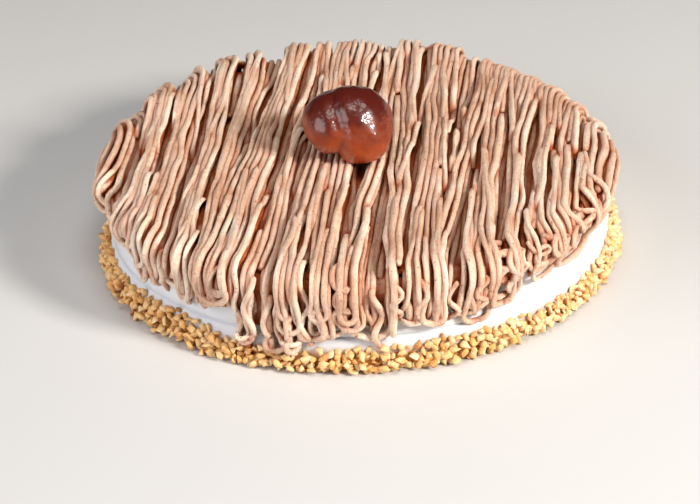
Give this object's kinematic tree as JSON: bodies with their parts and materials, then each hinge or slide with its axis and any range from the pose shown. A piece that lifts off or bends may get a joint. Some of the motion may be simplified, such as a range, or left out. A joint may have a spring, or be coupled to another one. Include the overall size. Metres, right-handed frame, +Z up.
{
  "type": "chestnut cake",
  "caption": "Low round layer cake in white cream, with chopped nuts round its foot, strands of piped chestnut cream draped over the top and edge, and a candied chestnut on top.",
  "frame": {"origin": "under the middle of the whole, at the level of the cake's flat underside", "axes": "+Z up, -Y towards the side that the picture shows; the strands run from +Y to -Y"},
  "size_m": [0.2298, 0.2308, 0.0743],
  "materials": {
    "whipped_cream": "soft white whipped cream coat with chopped nuts at the foot",
    "chestnut_cream": "matte piped chestnut cream",
    "candied_chestnut": "glossy sugar glaze"
  },
  "bodies": {
    "root": {"cream_cake": "whipped_cream", "piped_chestnut_cream": "chestnut_cream", "candied_chestnut": "candied_chestnut"}
  },
  "joints": []
}
